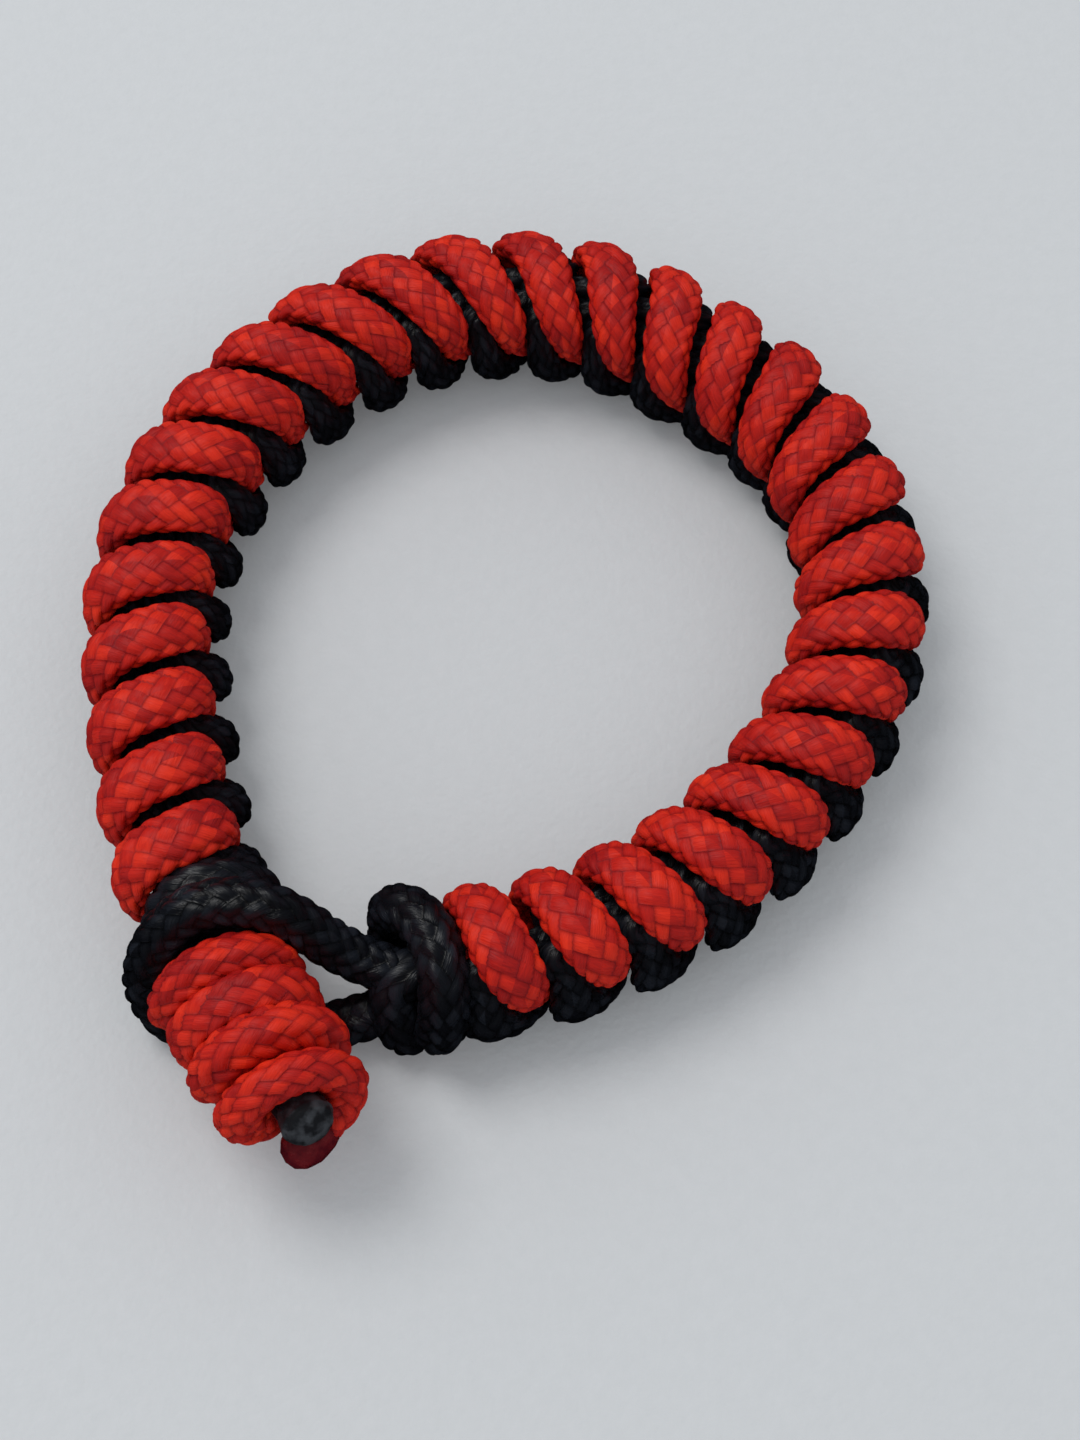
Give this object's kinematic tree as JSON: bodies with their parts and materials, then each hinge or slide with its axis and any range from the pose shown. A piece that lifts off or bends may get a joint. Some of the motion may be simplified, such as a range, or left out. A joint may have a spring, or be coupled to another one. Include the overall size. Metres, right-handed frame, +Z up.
{
  "type": "braided bracelet",
  "caption": "Bracelet of red and black parachute cord in a snake knot, closed by a cord loop over a wrapped toggle knot.",
  "frame": {"origin": "on the table under the middle of the bracelet's bounding box", "axes": "+Z up from the table, out of the wrist hollow; +X to the right and +Y away from the viewer in the picture, so that the toggle points to -Y"},
  "size_m": [0.0708, 0.0844, 0.0165],
  "materials": {
    "red_cord": "braided nylon sheath with a slight sheen",
    "black_cord": "braided nylon sheath with a slight sheen",
    "melted_red": "melted and glossy"
  },
  "bodies": {
    "root": {"red_strand": "red_cord", "black_strand": "black_cord", "base_knot": "black_cord", "closing_loop": "black_cord", "toggle_wrap": "red_cord", "toggle_core": "black_cord", "red_end": "melted_red"}
  },
  "joints": []
}
